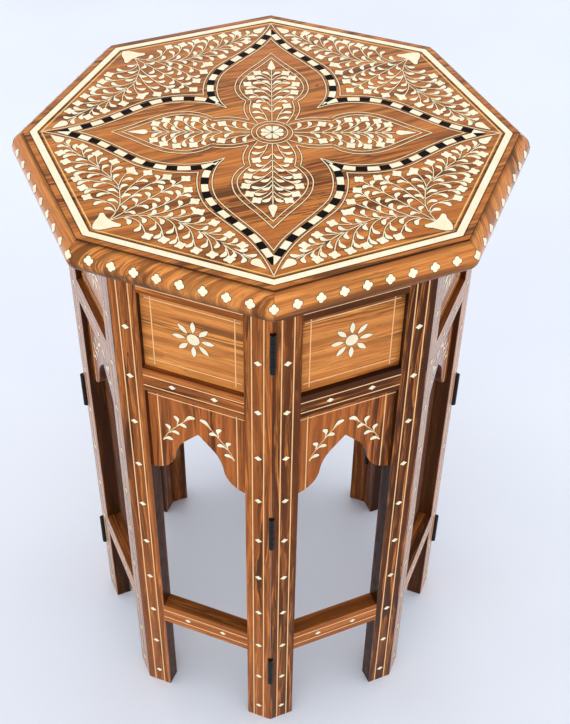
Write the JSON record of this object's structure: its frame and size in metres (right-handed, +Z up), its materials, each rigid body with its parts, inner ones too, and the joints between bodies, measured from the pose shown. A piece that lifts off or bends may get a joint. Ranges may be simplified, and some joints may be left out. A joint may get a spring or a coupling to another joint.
{
  "type": "folding octagonal side table",
  "caption": "Octagonal wooden side table with an inlaid lift-off top on a folding base of hinged panels with pointed arches, to stand a tray, lamp or drinks on.",
  "frame": {"origin": "on the floor at the middle of the base", "axes": "+Z up through the middle of the top; -Y through the front corner of the octagon"},
  "size_m": [0.4108, 0.4108, 0.57],
  "materials": {
    "frame_wood": "oiled satin",
    "star_wood": "oiled satin",
    "arch_wood": "oiled satin",
    "top_wood": "polished satin",
    "edge_wood": "polished satin",
    "cream_inlay": "polished bone-like inlay",
    "dark_inlay": "polished ebony",
    "gold_line": "fine inlaid line",
    "hinge_iron": "black",
    "screw_steel": "plain"
  },
  "bodies": {
    "panel_1": {"panel_1_stiles": "frame_wood", "panel_1_rails": "frame_wood", "panel_1_star_board": "star_wood", "panel_1_arch_board": "arch_wood", "panel_1_hinge_leaves": "hinge_iron", "panel_1_hinge_screws": "screw_steel", "panel_1_hinge_pins": "hinge_iron"},
    "panel_2": {"panel_2_stiles": "frame_wood", "panel_2_rails": "frame_wood", "panel_2_star_board": "star_wood", "panel_2_arch_board": "arch_wood", "panel_2_hinge_leaves": "hinge_iron", "panel_2_hinge_screws": "screw_steel"},
    "panel_3": {"panel_3_stiles": "frame_wood", "panel_3_rails": "frame_wood", "panel_3_star_board": "star_wood", "panel_3_arch_board": "arch_wood", "panel_3_hinge_leaves": "hinge_iron", "panel_3_hinge_screws": "screw_steel", "panel_3_hinge_pins": "hinge_iron"},
    "panel_4": {"panel_4_stiles": "frame_wood", "panel_4_rails": "frame_wood", "panel_4_star_board": "star_wood", "panel_4_arch_board": "arch_wood", "panel_4_hinge_leaves": "hinge_iron", "panel_4_hinge_screws": "screw_steel"},
    "panel_5": {"panel_5_stiles": "frame_wood", "panel_5_rails": "frame_wood", "panel_5_star_board": "star_wood", "panel_5_arch_board": "arch_wood", "panel_5_hinge_leaves": "hinge_iron", "panel_5_hinge_screws": "screw_steel", "panel_5_hinge_pins": "hinge_iron"},
    "panel_6": {"panel_6_stiles": "frame_wood", "panel_6_rails": "frame_wood", "panel_6_star_board": "star_wood", "panel_6_arch_board": "arch_wood", "panel_6_hinge_leaves": "hinge_iron", "panel_6_hinge_screws": "screw_steel"},
    "panel_7": {"panel_7_stiles": "frame_wood", "panel_7_rails": "frame_wood", "panel_7_star_board": "star_wood", "panel_7_arch_board": "arch_wood", "panel_7_hinge_leaves": "hinge_iron", "panel_7_hinge_screws": "screw_steel", "panel_7_hinge_pins": "hinge_iron"},
    "panel_8": {"panel_8_stiles": "frame_wood", "panel_8_rails": "frame_wood", "panel_8_star_board": "star_wood", "panel_8_arch_board": "arch_wood", "panel_8_hinge_leaves": "hinge_iron", "panel_8_hinge_screws": "screw_steel"},
    "top": {"top_board": "top_wood", "top_edge_mouldings": "edge_wood", "top_border_band": "cream_inlay", "top_border_line": "gold_line"}
  },
  "joints": [
    {"name": "fold", "type": "hinge", "parent": "panel_1", "child": "panel_2", "pos_m": [0.11072, -0.11072, 0], "axis": [0, 0, 1], "range_deg": [0, 125]},
    {"name": "corner_3_hinge", "type": "hinge", "parent": "panel_2", "child": "panel_3", "pos_m": [0.17442, 0, 0], "axis": [0, 0, 1], "range_deg": [-41.68, 0]},
    {"name": "corner_4_hinge", "type": "hinge", "parent": "panel_3", "child": "panel_4", "pos_m": [0.11072, 0.11072, 0], "axis": [0, 0, 1], "range_deg": [0, 125.01]},
    {"name": "corner_5_hinge", "type": "hinge", "parent": "panel_4", "child": "panel_5", "pos_m": [0, 0.17442, 0], "axis": [0, 0, 1], "range_deg": [-208.34, 0]},
    {"name": "corner_1_hinge", "type": "hinge", "parent": "panel_1", "child": "panel_8", "pos_m": [0, -0.17442, 0], "axis": [0, 0, 1], "range_deg": [0, 208.34]},
    {"name": "corner_8_hinge", "type": "hinge", "parent": "panel_8", "child": "panel_7", "pos_m": [-0.11072, -0.11072, 0], "axis": [0, 0, 1], "range_deg": [-125.01, 0]},
    {"name": "corner_7_hinge", "type": "hinge", "parent": "panel_7", "child": "panel_6", "pos_m": [-0.17442, 0, 0], "axis": [0, 0, 1], "range_deg": [0, 41.68]},
    {"name": "top_lift", "type": "slide", "parent": "panel_1", "child": "top", "axis": [0, 0, 1], "range_m": [0, 0.2]}
  ],
  "couplings": [
    {"joint": "corner_3_hinge", "follows": "fold", "ratio": -0.33333},
    {"joint": "corner_4_hinge", "follows": "fold", "ratio": 1},
    {"joint": "corner_5_hinge", "follows": "fold", "ratio": -1.6667},
    {"joint": "corner_1_hinge", "follows": "fold", "ratio": 1.6667},
    {"joint": "corner_8_hinge", "follows": "fold", "ratio": -1},
    {"joint": "corner_7_hinge", "follows": "fold", "ratio": 0.33333}
  ]
}
